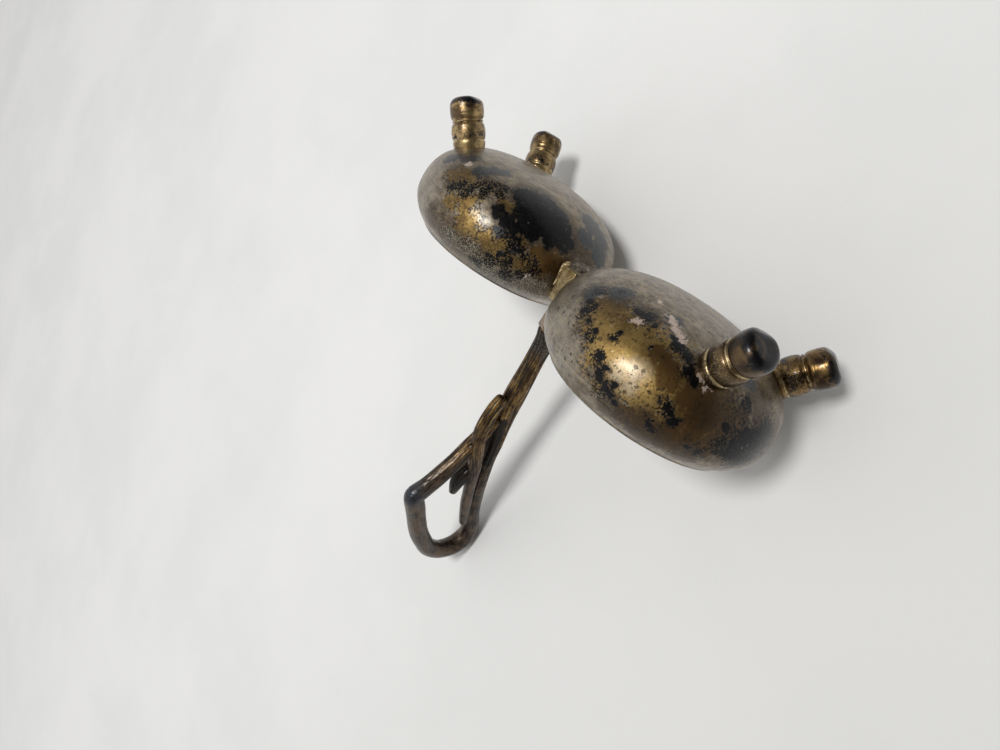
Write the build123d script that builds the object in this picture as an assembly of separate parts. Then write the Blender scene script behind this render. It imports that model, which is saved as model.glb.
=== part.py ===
from build123d import *
import math
import os

os.makedirs("parts", exist_ok=True)

# Row frame: Z up, X along the line through both bowls, origin on the table under the middle.
# All sizes in millimetres.

# Bowls: squat round shells, widest at the equator, with an incurved mouth.
EQUATOR_Z = 21.8
BOWL_CENTRE_X = 27.5
BOWL_RADIUS = 25.8
BOWL_DEPTH = 15.4
BOWL_EXPONENT = 2.5
SHOULDER_HEIGHT = 12.7
RIM_HEIGHT = 7.1
WALL = 1.0
PROFILE_STEPS = 10

# Feet: turned pegs with two barrels, splayed outwards.
FOOT_OFFSET_X = 15.2
FOOT_OFFSET_Y = 11.9
FOOT_BASE_DROP = 10.9
FOOT_LEAN = (0.67, 0.32, -1.0)
FOOT_BURY = 4.0
FOOT_LENGTH = 12.0
FOOT_NECK_RADIUS = 3.3
FOOT_RING_RADIUS = 3.75
FOOT_BARREL_RADIUS = 4.1
FOOT_WAIST_RADIUS = 3.4
FOOT_END_RADIUS = 2.5

# Bridge: a brass block in the gap between the bowls, with a thinner tab above for the handle.
BRIDGE_THICKNESS = 4.0
BRIDGE_WIDTH = 14.4
BRIDGE_BOTTOM = -5.4
BRIDGE_SHOULDER = 3.0
BRIDGE_CORNER = 0.6
TAB_THICKNESS = 2.2
TAB_WIDTH = 11.8
TAB_TOP = 9.8

# Handle: strands of a cast twig in the plane x = 0.
# Each station is (y, height above the equator, half width in x, half width in the plane).
STEM_AND_LOOP = (
    (1.8, 9.4, 2.0, 3.9),
    (1.4, 13.0, 2.1, 2.4),
    (1.0, 18.0, 2.1, 2.3),
    (0.4, 25.0, 2.2, 2.9),
    (-0.6, 32.0, 2.2, 3.0),
    (-2.2, 38.5, 2.1, 2.5),
    (-3.8, 45.0, 2.0, 2.1),
    (-5.3, 51.0, 2.0, 2.0),
    (-7.0, 56.5, 2.0, 2.0),
    (-9.0, 62.0, 2.0, 2.0),
    (-11.6, 68.0, 2.1, 2.1),
    (-14.8, 74.0, 2.3, 2.3),
    (-16.1, 79.0, 2.5, 2.7),
    (-13.6, 82.6, 2.5, 2.7),
    (-9.0, 83.6, 2.5, 2.5),
    (-4.4, 82.2, 2.4, 2.5),
    (-0.6, 79.0, 2.4, 2.4),
    (2.6, 75.6, 2.4, 2.4),
    (5.6, 71.5, 2.4, 2.4),
    (8.6, 67.0, 2.5, 2.5),
    (11.0, 63.2, 2.6, 2.7),
)
ELBOW = (11.3, 62.0)
ELBOW_RADIUS = 2.95
ELBOW_BRANCH = (
    (11.2, 62.2, 2.6, 2.7),
    (9.6, 58.9, 2.3, 2.4),
    (7.6, 55.2, 2.2, 2.3),
    (5.5, 50.8, 2.1, 2.1),
    (3.7, 46.0, 2.0, 2.0),
    (2.2, 41.0, 1.9, 1.9),
    (1.0, 36.0, 1.6, 1.6),
)
# Each station of a side strand is (x, y, height above the equator, radius).
CROSSING_STRAND = (
    (0.6, 5.0, 30.2, 1.3),
    (1.0, 5.5, 34.0, 1.5),
    (1.3, 5.6, 38.0, 1.7),
    (1.5, 4.4, 42.0, 1.7),
    (1.6, 2.3, 46.2, 1.7),
    (1.6, 0.0, 50.8, 1.7),
    (1.4, -2.5, 56.2, 1.6),
    (1.1, -5.3, 62.0, 1.5),
    (0.8, -8.4, 68.0, 1.4),
    (0.4, -11.4, 73.0, 1.2),
)
BACK_STRAND = (
    (-0.9, 0.5, 35.0, 1.3),
    (-1.0, -0.6, 41.0, 1.5),
    (-1.0, -1.8, 46.0, 1.6),
    (-0.9, -3.2, 51.0, 1.5),
)
THORN = (
    (0.6, -1.2, 50.5, 1.5),
    (0.5, 0.6, 54.0, 1.9),
    (0.4, 0.9, 57.5, 1.7),
    (0.4, 0.0, 61.4, 0.8),
)


def superellipse_arc(radius, depth):
    """Points from the bottom pole up to the equator, in (radius, height)."""
    points = []
    for step in range(PROFILE_STEPS + 1):
        angle = math.pi / 2 * step / PROFILE_STEPS
        power = 2 / BOWL_EXPONENT
        points.append((radius * math.sin(angle) ** power, -depth * max(math.cos(angle), 0) ** power))
    return points


def shoulder_arc(radius, height, steps):
    """Points above the equator up to the rim, in (radius, height)."""
    last = math.asin(RIM_HEIGHT / height)
    points = []
    for step in range(1, steps + 1):
        angle = last * step / steps
        points.append((radius * math.cos(angle), height * math.sin(angle)))
    return points


def bowl_curve(inset):
    """The bowl's side as one spline on the XZ plane, moved inwards by inset."""
    radius = BOWL_RADIUS - inset
    lower = superellipse_arc(radius, BOWL_DEPTH - inset)
    upper = shoulder_arc(radius, SHOULDER_HEIGHT - inset, 5)
    points = [Vector(r, 0, z) for r, z in lower + upper]
    leave = (points[-1] - points[-2]).normalized()
    return Spline(*points, tangents=[(1, 0, 0), leave])


def bowl_envelope(side):
    """The bowl's outer shape without its hollow, used to trim what is soldered to it."""
    outside = bowl_curve(0)
    top = outside @ 1
    lid = Line(top, (0, 0, top.Z))
    axis = Line((0, 0, top.Z), outside @ 0)
    face = make_face([outside, lid, axis])
    return Pos(side * BOWL_CENTRE_X, 0, EQUATOR_Z) * revolve(face, Axis.Z, 360)


def bowl(side):
    """One spun shell with a rounded lip."""
    outside = bowl_curve(0)
    inside = bowl_curve(WALL)
    lip_top = (outside @ 1 + inside @ 1) / 2 + Vector(0, 0, WALL / 2)
    lip = ThreePointArc(outside @ 1, lip_top, inside @ 1)
    axis = Line(outside @ 0, inside @ 0)
    face = make_face([outside, lip, inside, axis])
    return Pos(side * BOWL_CENTRE_X, 0, EQUATOR_Z) * revolve(face, Axis.Z, 360)


def foot_profile():
    """Half section of a peg: radius along X, distance from the bowl along Z."""
    neck = Polyline((0, 0, -FOOT_BURY), (FOOT_NECK_RADIUS, 0, -FOOT_BURY), (FOOT_NECK_RADIUS, 0, 0.7))
    ring = ThreePointArc((FOOT_NECK_RADIUS, 0, 0.7), (FOOT_RING_RADIUS, 0, 1.3), (3.55, 0, 2.1))
    lower = ThreePointArc((3.55, 0, 2.1), (FOOT_BARREL_RADIUS, 0, 4.1), (FOOT_WAIST_RADIUS, 0, 6.1))
    bead = ThreePointArc((FOOT_WAIST_RADIUS, 0, 6.1), (3.65, 0, 6.45), (FOOT_WAIST_RADIUS, 0, 6.8))
    upper = ThreePointArc((FOOT_WAIST_RADIUS, 0, 6.8), (FOOT_BARREL_RADIUS, 0, 8.9), (3.6, 0, 11.0))
    end = ThreePointArc((3.6, 0, 11.0), (3.25, 0, 11.7), (FOOT_END_RADIUS, 0, FOOT_LENGTH))
    close = Polyline((FOOT_END_RADIUS, 0, FOOT_LENGTH), (0, 0, FOOT_LENGTH), (0, 0, -FOOT_BURY))
    return make_face([neck, ring, lower, bead, upper, end, close])


def foot(side_x, side_y):
    """One splayed peg, trimmed to the bowl above and to the table below."""
    origin = (
        side_x * (BOWL_CENTRE_X + FOOT_OFFSET_X),
        side_y * FOOT_OFFSET_Y,
        EQUATOR_Z - FOOT_BASE_DROP,
    )
    lean = (side_x * FOOT_LEAN[0], side_y * FOOT_LEAN[1], FOOT_LEAN[2])
    peg = Plane(origin=origin, z_dir=lean) * revolve(foot_profile(), Axis.Z, 360)
    table = Pos(origin[0], origin[1], -5) * Box(60, 60, 10)
    return peg - bowl_envelope(side_x) - table


def upright_plate(thickness, width, bottom, top):
    """A plate on the plane x = 0 with its corners rounded."""
    middle = EQUATOR_Z + (top + bottom) / 2
    plate = Pos(0, 0, middle) * Box(thickness, width, top - bottom)
    return fillet(plate.edges().filter_by(Axis.X), BRIDGE_CORNER)


def centre_bridge():
    """The brass block between the bowls, with the tab that carries the handle."""
    block = upright_plate(BRIDGE_THICKNESS, BRIDGE_WIDTH, BRIDGE_BOTTOM, BRIDGE_SHOULDER)
    tab = upright_plate(TAB_THICKNESS, TAB_WIDTH, BRIDGE_BOTTOM + 2, TAB_TOP)
    return block + tab - bowl_envelope(-1) - bowl_envelope(1)


def strand(stations):
    """A rod lofted through elliptical stations (x, y, z, half width in x, half width across)."""
    count = len(stations)
    centres = [Vector(x, y, EQUATOR_Z + z) for x, y, z, _, _ in stations]
    sections = []
    for index, (_, _, _, wide, across) in enumerate(stations):
        before = centres[max(index - 1, 0)]
        after = centres[min(index + 1, count - 1)]
        plane = Plane(origin=centres[index], x_dir=(1, 0, 0), z_dir=after - before)
        sections.append(plane * Ellipse(wide, across))
    return loft(sections)


def round_strand(stations):
    """A rod of round section through (x, y, z, radius)."""
    return strand([(x, y, z, r, r) for x, y, z, r in stations])


def flat_strand(stations):
    """A rod whose centre stays in the plane x = 0."""
    return strand([(0, y, z, wide, across) for y, z, wide, across in stations])


def handle():
    """The twig handle as one casting, standing on the bridge's tab."""
    elbow = Pos(0, ELBOW[0], EQUATOR_Z + ELBOW[1]) * Sphere(ELBOW_RADIUS)
    casting = flat_strand(STEM_AND_LOOP) + flat_strand(ELBOW_BRANCH) + elbow
    for side_strand in (CROSSING_STRAND, BACK_STRAND, THORN):
        casting = casting + round_strand(side_strand)
    below_tab = Pos(0, 0, EQUATOR_Z + TAB_TOP - 5) * Box(40, 40, 10)
    return casting - below_tab


def export_node(name, shape):
    """Write one named piece."""
    export_step(shape, f"parts/{name}.step")


for side, label in ((-1, "left"), (1, "right")):
    export_node(f"bowl_{label}", bowl(side))
    export_node(f"foot_front_{label}", foot(side, -1))
    export_node(f"foot_back_{label}", foot(side, 1))

export_node("centre_bridge", centre_bridge())
export_node("handle", handle())
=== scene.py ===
import math

import bpy
import numpy as np
from mathutils import Matrix, Vector, noise


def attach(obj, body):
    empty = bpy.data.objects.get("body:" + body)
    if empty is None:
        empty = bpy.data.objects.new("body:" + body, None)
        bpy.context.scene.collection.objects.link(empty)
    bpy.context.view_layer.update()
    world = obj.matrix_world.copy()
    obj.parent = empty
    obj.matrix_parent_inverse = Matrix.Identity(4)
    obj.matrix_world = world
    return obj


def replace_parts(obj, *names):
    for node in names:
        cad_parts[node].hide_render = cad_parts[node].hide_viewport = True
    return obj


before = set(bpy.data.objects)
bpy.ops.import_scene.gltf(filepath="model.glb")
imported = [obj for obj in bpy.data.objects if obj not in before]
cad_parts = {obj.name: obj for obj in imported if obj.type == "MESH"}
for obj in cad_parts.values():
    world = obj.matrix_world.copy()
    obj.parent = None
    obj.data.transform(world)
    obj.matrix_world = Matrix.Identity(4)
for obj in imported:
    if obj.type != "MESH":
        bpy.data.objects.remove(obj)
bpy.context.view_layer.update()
scene = bpy.context.scene

MM = 0.001

# Sizes in millimetres, the same as the CAD part's.
EQUATOR_Z = 21.8
BOWL_CENTRE_X = 27.5
BOWL_RADIUS = 25.8
BOWL_DEPTH = 15.4
BOWL_EXPONENT = 2.5
SHOULDER_HEIGHT = 12.7
RIM_HEIGHT = 7.1
WALL = 1.0
FOOT_OFFSET_X = 15.2
FOOT_OFFSET_Y = 11.9
FOOT_BASE_DROP = 10.9
FOOT_LEAN = (0.67, 0.32, -1.0)
HANDLE_TOP_Z = 108.0


# -------- meshes


def new_object(name, vertices, faces, material, location=(0, 0, 0), attributes=None):
    """A smooth-shaded object from vertices in millimetres, with numbers or vectors kept on its points."""
    mesh = bpy.data.meshes.new(name)
    mesh.from_pydata((np.asarray(vertices) * MM).tolist(), [], faces)
    mesh.polygons.foreach_set("use_smooth", [True] * len(mesh.polygons))
    for label, values in (attributes or {}).items():
        kind, field = ("FLOAT", "value") if values.ndim == 1 else ("FLOAT_VECTOR", "vector")
        layer = mesh.attributes.new(label, kind, "POINT")
        layer.data.foreach_set(field, values.astype(np.float32).reshape(-1))
    mesh.update()
    mesh.materials.append(material)
    made = bpy.data.objects.new(name, mesh)
    made.location = Vector(location) * MM
    scene.collection.objects.link(made)
    bpy.context.view_layer.update()
    return made


def ring_faces(ring_count, around):
    """Quads that join each closed ring of vertices to the next."""
    faces = []
    for ring in range(ring_count - 1):
        low = ring * around
        high = low + around
        for step in range(around):
            after = (step + 1) % around
            faces.append((low + step, low + after, high + after, high + step))
    return faces


def tube(name, rings, material, location=(0, 0, 0), attributes=None):
    """A closed skin through a list of rings of equal size, with a point in the middle of each end."""
    rings = np.asarray(rings, dtype=float)
    ring_count, around = rings.shape[:2]
    faces = ring_faces(ring_count, around)
    vertices = rings.reshape(-1, 3)
    first = len(vertices)
    last = first + 1
    vertices = np.vstack([vertices, rings[0].mean(0), rings[-1].mean(0)])
    top = (ring_count - 1) * around
    for step in range(around):
        after = (step + 1) % around
        faces.append((first, after, step))
        faces.append((last, top + step, top + after))
    kept = {}
    for label, values in (attributes or {}).items():
        grid = np.asarray(values, dtype=float)
        skin = grid.reshape(-1, *grid.shape[2:])
        kept[label] = np.concatenate([skin, grid[:1].mean(1), grid[-1:].mean(1)])
    return new_object(name, vertices, faces, material, location, kept)


def ride(piece):
    """Every piece belongs to the one rigid body."""
    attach(piece, "root")
    return piece


def arc(start, middle, end, steps):
    """Points on the circle through three points, without the first."""
    (ax, ay), (bx, by), (cx, cy) = start, middle, end
    d = 2 * (ax * (by - cy) + bx * (cy - ay) + cx * (ay - by))
    a2, b2, c2 = ax * ax + ay * ay, bx * bx + by * by, cx * cx + cy * cy
    ux = (a2 * (by - cy) + b2 * (cy - ay) + c2 * (ay - by)) / d
    uy = (a2 * (cx - bx) + b2 * (ax - cx) + c2 * (bx - ax)) / d
    radius = math.hypot(ax - ux, ay - uy)
    first = math.atan2(ay - uy, ax - ux)
    turn = (math.atan2(cy - uy, cx - ux) - first) % (2 * math.pi)
    through = (math.atan2(by - uy, bx - ux) - first) % (2 * math.pi)
    if through > turn:
        turn -= 2 * math.pi
    angles = [first + turn * k / steps for k in range(1, steps + 1)]
    return [(ux + radius * math.cos(a), uy + radius * math.sin(a)) for a in angles]


def bowl_radius_at(height):
    """The bowl's outside radius at a height above its equator."""
    if height < 0:
        return BOWL_RADIUS * max(0, 1 - (-height / BOWL_DEPTH) ** BOWL_EXPONENT) ** (1 / BOWL_EXPONENT)
    return BOWL_RADIUS * math.sqrt(max(0, 1 - (height / SHOULDER_HEIGHT) ** 2))


def bowl_side(inset, steps_below, steps_above):
    """Half section of one face of the wall from the bottom pole to the rim: (radius, height)."""
    radius = BOWL_RADIUS - inset
    depth = BOWL_DEPTH - inset
    shoulder = SHOULDER_HEIGHT - inset
    power = 2 / BOWL_EXPONENT
    points = []
    for step in range(1, steps_below + 1):
        t = math.pi / 2 * step / steps_below
        points.append((radius * math.sin(t) ** power, -depth * max(math.cos(t), 0) ** power))
    last = math.asin(RIM_HEIGHT / shoulder)
    for step in range(1, steps_above + 1):
        a = last * step / steps_above
        points.append((radius * math.cos(a), shoulder * math.sin(a)))
    return points


# How finely a bowl is cut: below and above the equator outside and inside, over the lip, and around.
OUTSIDE_SECTIONS = (70, 22)
INSIDE_SECTIONS = (44, 16)
LIP_SECTIONS = 10
BOWL_AROUND = 256
LIP_RISE = 0.5

# Two layers of shallow dents: (depth in millimetres, waves to the millimetre, what is added to the noise).
BROAD_DENTS = (0.16, 0.075, 0.35)
SMALL_DENTS = (0.05, 0.24, 0.30)
# Points nearer than this to the bowl's centre are pressed in as if they were this far away.
DENT_CORE = 6.0


def dents_at(p, dents, shift):
    """How far one layer of dents presses a point in."""
    depth, waves, added = dents
    return depth * (noise.noise(p * waves + Vector(shift)) + added)


def bowl_piece(name, side, material):
    """A spun shell with a rounded lip and the shallow dents of old hand work."""
    outside = bowl_side(0, *OUTSIDE_SECTIONS)
    inside = bowl_side(WALL, *INSIDE_SECTIONS)
    middle = (outside[-1][0] + inside[-1][0]) / 2
    reach = (outside[-1][0] - inside[-1][0]) / 2
    lip = []
    for step in range(1, LIP_SECTIONS):
        a = math.pi * step / LIP_SECTIONS
        lip.append((middle + reach * math.cos(a), RIM_HEIGHT + LIP_RISE * math.sin(a)))
    rings = []
    for radius, height in outside + lip + inside[::-1]:
        ring = []
        for step in range(BOWL_AROUND):
            a = 2 * math.pi * step / BOWL_AROUND
            p = Vector((radius * math.cos(a), radius * math.sin(a), height))
            dent = dents_at(p, BROAD_DENTS, (side * 7, 3, 1)) + dents_at(p, SMALL_DENTS, (2, side * 5, 4))
            ring.append(p * (1 - max(0.0, dent) / max(p.length, DENT_CORE)))
        rings.append(ring)
    inner = [[0.0] * BOWL_AROUND] * (len(outside) + len(lip)) + [[1.0] * BOWL_AROUND] * len(inside)
    return tube(name, rings, material, (side * BOWL_CENTRE_X, 0, EQUATOR_Z), {"inside": inner})


FOOT_AROUND = 96
FOOT_BASE_RADIUS = 3.66
FOOT_ROOT = (-9.0, 3.6)
FOOT_INSET = 0.03
FOOT_WOBBLE = 0.03
FLOOR_BLEND = 0.4

# The search for where a foot meets its bowl: reach along the axis, halvings, and how deep it stops.
BASE_REACH = 4.0
BASE_HALVINGS = 24
BASE_LEVEL = -0.022


def foot_profile():
    """Half section of a turned foot from inside the bowl outwards: (distance, radius)."""
    points = [FOOT_ROOT, (0.0, FOOT_BASE_RADIUS), (0.4, 3.74), (0.7, 3.80)]
    points += arc((0.9, 3.84), (1.45, 3.92), (1.95, 3.84), 8)
    points += [(2.02, 3.74), (2.12, 3.70), (2.22, 3.76)]
    points += arc((2.3, 3.86), (2.75, 3.98), (3.3, 4.05), 8)
    points += arc((3.3, 4.04), (4.2, 4.1), (5.2, 4.0), 12)
    points += arc((5.2, 4.0), (5.7, 3.86), (6.0, 3.64), 8)
    points += [(6.06, 3.52), (6.14, 3.50), (6.22, 3.58)]
    points += arc((6.26, 3.64), (6.45, 3.74), (6.64, 3.64), 8)
    points += [(6.68, 3.58), (6.76, 3.50), (6.84, 3.52)]
    points += arc((6.9, 3.64), (7.3, 3.90), (7.9, 4.02), 8)
    points += arc((7.9, 4.02), (9.2, 4.1), (10.3, 4.02), 14)
    points += arc((10.3, 4.02), (11.35, 3.6), (11.95, 2.7), 14)
    points += [(12.0, 2.3), (11.98, 1.6), (11.95, 0.8)]
    return points


def inside_bowl(p):
    """Below zero inside the bowl's outer face, for a point from the bowl's centre."""
    flat = math.hypot(p.x, p.y)
    if p.z < 0:
        return (flat / BOWL_RADIUS) ** BOWL_EXPONENT + (-p.z / BOWL_DEPTH) ** BOWL_EXPONENT - 1
    return (flat / BOWL_RADIUS) ** 2 + (p.z / SHOULDER_HEIGHT) ** 2 - 1


def soft_floor(value, floor):
    """The value kept above a floor, easing into it."""
    gap = value - floor
    if gap > FLOOR_BLEND:
        return value
    return floor + max(gap + FLOOR_BLEND, 0) ** 2 / (4 * FLOOR_BLEND)


def foot_axis(side_x, side_y):
    """The way a foot points, from its bowl outwards."""
    return Vector((side_x * FOOT_LEAN[0], side_y * FOOT_LEAN[1], FOOT_LEAN[2])).normalized()


def foot_piece(name, side_x, side_y, material):
    """A splayed peg whose base follows the bowl and whose tip is worn flat on the table."""
    base = Vector((side_x * FOOT_OFFSET_X, side_y * FOOT_OFFSET_Y, -FOOT_BASE_DROP))
    turn = foot_axis(side_x, side_y).to_track_quat("Z", "Y").to_matrix()
    profile = foot_profile()
    columns = []
    for step in range(FOOT_AROUND):
        a = 2 * math.pi * step / FOOT_AROUND
        outward = Vector((math.cos(a), math.sin(a), 0))
        low, high = -BASE_REACH, BASE_REACH
        for _ in range(BASE_HALVINGS):
            middle = (low + high) / 2
            tried = outward * FOOT_BASE_RADIUS + Vector((0, 0, middle))
            if inside_bowl(base + turn @ tried) < BASE_LEVEL:
                low = middle
            else:
                high = middle
        column = []
        for distance, radius in profile:
            along = distance * 0.35 + side_x * 5 + side_y * 9
            wobble = FOOT_WOBBLE * noise.noise(Vector((math.cos(a), math.sin(a), along)))
            place = turn @ (outward * (radius - FOOT_INSET + wobble) + Vector((0, 0, max(distance, low))))
            place.z = soft_floor(place.z, FOOT_BASE_DROP - EQUATOR_Z)
            column.append(place)
        columns.append(column)
    rings = np.array(columns, dtype=float).transpose(1, 0, 2)
    return tube(name, rings, material, base + Vector((side_x * BOWL_CENTRE_X, 0, EQUATOR_Z)))


# The two plates of the bridge: rounding and steps of their corners, steps along a side and over the top and
# bottom edges, distance between levels, how far they reach into the bowls, and how rough they are.
PLATE_CORNER = 0.45
PLATE_CORNER_STEPS = 6
PLATE_SIDE_STEPS = 28
PLATE_EDGE_STEPS = 6
PLATE_LEVEL_GAP = 0.25
PLATE_PINCH = 0.18
PLATE_ROUGHNESS = 0.05


def rounded_rectangle(half_x, half_y):
    """Points round a rectangle with rounded corners."""
    radius = PLATE_CORNER
    corners = []
    for quarter, (sx, sy) in enumerate(((1, 1), (-1, 1), (-1, -1), (1, -1))):
        cx, cy = sx * (half_x - radius), sy * (half_y - radius)
        angles = [math.pi / 2 * (quarter + k / PLATE_CORNER_STEPS) for k in range(PLATE_CORNER_STEPS + 1)]
        corners.append([(cx + radius * math.cos(a), cy + radius * math.sin(a)) for a in angles])
    points = []
    for corner, following in zip(corners, corners[1:] + corners[:1]):
        points += corner
        (x, y), (end_x, end_y) = corner[-1], following[0]
        for step in range(1, PLATE_SIDE_STEPS):
            t = step / PLATE_SIDE_STEPS
            points.append((x + (end_x - x) * t, y + (end_y - y) * t))
    return points


def plate_piece(name, thickness, width, bottom, top, edge, material):
    """An upright plate in the gap, pinched to the bowls on both sides."""
    levels = []
    for k in range(PLATE_EDGE_STEPS + 1):
        a = math.pi / 2 * k / PLATE_EDGE_STEPS
        levels.append((bottom + edge * (1 - math.cos(a)), edge * (1 - math.sin(a))))
    rounding = levels[::-1]
    count = int((top - bottom - 2 * edge) / PLATE_LEVEL_GAP)
    for step in range(1, count):
        levels.append((bottom + edge + (top - bottom - 2 * edge) * step / count, 0.0))
    levels += [(top - (z - bottom), inset) for z, inset in rounding]
    rings = []
    for height, inset in levels:
        ring = []
        reach = bowl_radius_at(height)
        for x, y in rounded_rectangle(thickness / 2 - inset, width / 2 - inset):
            room = BOWL_CENTRE_X - math.sqrt(max(reach * reach - y * y, 0)) + PLATE_PINCH
            x = max(-room, min(room, x))
            p = Vector((x, y, height))
            fine, broad = noise.noise(p * 0.9) - 0.6, noise.noise(p * 0.3) - 0.5
            rough = PLATE_ROUGHNESS * fine + PLATE_ROUGHNESS * broad
            ring.append((x * (1 + rough / 3), y + math.copysign(rough, y), height))
        rings.append(ring)
    return tube(name, rings, material, (0, 0, EQUATOR_Z))


# -------- handle

# Each station is (x, y, height above the equator, half width in x, half width across).
STEM_AND_LOOP = (
    (0, 1.9, 8.2, 1.7, 4.3), (0, 1.8, 9.8, 2.0, 3.8), (0, 1.4, 13.0, 2.1, 2.8), (0, 1.0, 18.0, 2.1, 2.6),
    (0, 0.4, 25.0, 2.2, 2.9), (0, -0.6, 32.0, 2.2, 3.0), (0, -2.2, 38.5, 2.1, 2.5),
    (0, -3.8, 45.0, 2.0, 2.1), (0, -5.3, 51.0, 2.0, 2.0), (0, -7.0, 56.5, 2.0, 2.0),
    (0, -9.0, 62.0, 2.0, 2.0), (0, -11.6, 68.0, 2.1, 2.1), (0, -14.8, 74.0, 2.3, 2.3),
    (0, -16.1, 79.0, 2.5, 2.7), (0, -13.6, 82.6, 2.5, 2.7), (0, -9.0, 83.6, 2.5, 2.5),
    (0, -4.4, 82.2, 2.4, 2.5), (0, -0.6, 79.0, 2.4, 2.4), (0, 2.6, 75.6, 2.4, 2.4),
    (0, 5.6, 71.5, 2.4, 2.4), (0, 8.6, 67.0, 2.5, 2.5), (0, 11.2, 63.2, 2.4, 2.5),
    (0, 11.5, 61.8, 2.2, 2.2), (0, 10.9, 60.6, 1.8, 1.8),
)
BRANCH = (
    (0, 12.0, 63.3, 2.1, 2.3), (0, 11.3, 61.8, 2.3, 2.5), (0, 9.6, 58.9, 2.2, 2.35),
    (0, 7.6, 55.2, 2.2, 2.3), (0, 5.5, 50.8, 2.1, 2.1), (0, 3.7, 46.0, 2.0, 2.0), (0, 2.2, 41.0, 1.9, 1.9),
    (0, 1.0, 36.0, 1.6, 1.6),
)
CROSSING_STRAND = (
    (0.4, 3.6, 29.4, 1.4, 1.6), (0.8, 4.7, 33.2, 1.7, 2.0), (1.3, 5.2, 38.0, 1.7, 1.9),
    (1.5, 4.4, 42.0, 1.7, 1.7), (1.6, 2.3, 46.2, 1.7, 1.7), (1.6, 0.0, 50.8, 1.7, 1.7),
    (1.4, -2.5, 56.2, 1.6, 1.6), (1.1, -5.3, 62.0, 1.5, 1.5), (0.8, -8.4, 68.0, 1.4, 1.4),
    (0.4, -11.4, 73.0, 1.2, 1.2),
)
BACK_STRAND = (
    (-0.9, 0.5, 35.0, 1.3, 1.3), (-1.0, -0.6, 41.0, 1.5, 1.5), (-1.0, -1.8, 46.0, 1.6, 1.6),
    (-0.9, -3.2, 51.0, 1.5, 1.5),
)
THORN = (
    (0.6, -1.2, 50.5, 1.5, 1.5), (0.5, 0.6, 54.0, 1.9, 1.9), (0.4, 0.9, 57.5, 1.7, 1.7),
    (0.4, 0.0, 61.4, 0.8, 0.8),
)

# Solder: the wrinkled run under the bridge, the bead up its back corner and the dab at the handle's foot.
SOLDER_UNDER = (
    (-0.9, 6.4, -4.9, 1.2, 0.6), (-1.3, 5.2, -5.3, 2.1, 0.9), (-1.5, 3.4, -5.6, 2.3, 1.0),
    (-1.2, 1.4, -5.6, 2.3, 0.9), (-1.0, -1.4, -5.6, 2.2, 0.9), (-1.1, -3.6, -5.5, 2.1, 0.9),
    (-0.8, -5.6, -5.1, 1.4, 0.7),
)
SOLDER_EDGE = (
    (-1.5, 6.4, -5.7, 0.3, 0.3), (-2.0, 6.9, -5.4, 0.42, 0.42), (-2.3, 7.1, -4.6, 0.46, 0.46),
    (-2.3, 7.1, -3.4, 0.40, 0.40), (-2.2, 7.0, -1.8, 0.28, 0.28), (-2.1, 7.0, 0.2, 0.22, 0.22),
)
SOLDER_HANDLE = ((0.2, 5.3, 9.4, 0.5, 0.5), (0.8, 4.7, 9.8, 0.6, 0.6), (1.3, 3.8, 10.0, 0.5, 0.5))

# Painted shade in the hollows between the strands, from the handle's origin: (point, radius).
RECESS_SHADE_SPOTS = (
    ((2.0, 0.0, 37.0), 1.8), ((2.0, -0.6, 40.0), 2.5), ((1.8, -1.5, 43.0), 2.6), ((1.7, -2.8, 46.5), 2.3),
    ((1.4, -3.5, 49.6), 1.9), ((0.4, 0.8, 56.5), 3.6), ((2.0, 3.4, 33.0), 1.0),
)

# Heights between which the bark turns into the smooth metal of the loop, and how much of it goes.
BARK_FADES = (52.0, 63.0)
BARK_FADED = 0.9

# The twig's grooves: (waves round, waves to the millimetre along, place in the noise, width, depth).
FINE_GROOVES = ((4.6, 0.028, (0, 0, 1), 0.085, 0.75), (8.5, 0.045, (9, 0, 2), 0.10, 0.45))
DEEP_GROOVES = (2.2, 0.05, (0, 5, 1), 0.05, 1.0)

# A strand's swelling, how far its skin stands out from its stations, and its least half width.
SWELLING = 0.22
SKIN = 0.06
LEAST_HALF_WIDTH = 0.3
# A strand narrower than this has shallower grooves.
FULL_GROOVE_WIDTH = 2.2
# The rounding of a strand's ends as a part of its half width, and how far it closes.
END_ROUNDING = 0.6
END_CLOSES_TO = 0.05
CURVE_STEPS = 24


def smooth_path(stations, step):
    """Stations joined by a Catmull-Rom curve, evenly spaced along its length."""
    stations = np.array(stations, dtype=float)
    padded = np.vstack([2 * stations[0] - stations[1], stations, 2 * stations[-1] - stations[-2]])
    fine = []
    for index in range(1, len(padded) - 2):
        p0, p1, p2, p3 = padded[index - 1:index + 3]
        for t in np.linspace(0, 1, CURVE_STEPS, endpoint=False):
            fine.append(0.5 * (2 * p1 + (p2 - p0) * t + (2 * p0 - 5 * p1 + 4 * p2 - p3) * t ** 2
                               + (3 * p1 - p0 - 3 * p2 + p3) * t ** 3))
    fine.append(stations[-1])
    fine = np.array(fine)
    lengths = np.concatenate([[0], np.cumsum(np.linalg.norm(np.diff(fine[:, :3], axis=0), axis=1))])
    even = np.linspace(0, lengths[-1], int(lengths[-1] / step) + 1)
    return np.stack([np.interp(even, lengths, column) for column in fine.T], axis=1), even


def grooves_at(c, s, along, seed, family):
    """How deep one family of grooves is in a direction (c, s) at a length along a strand."""
    waves, waves_along, (shift_c, shift_s, seeds), width, depth = family
    place = Vector((c * waves + shift_c, s * waves + shift_s, along * waves_along + seed * seeds))
    return math.exp(-((noise.noise(place) / width) ** 2)) * depth


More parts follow.
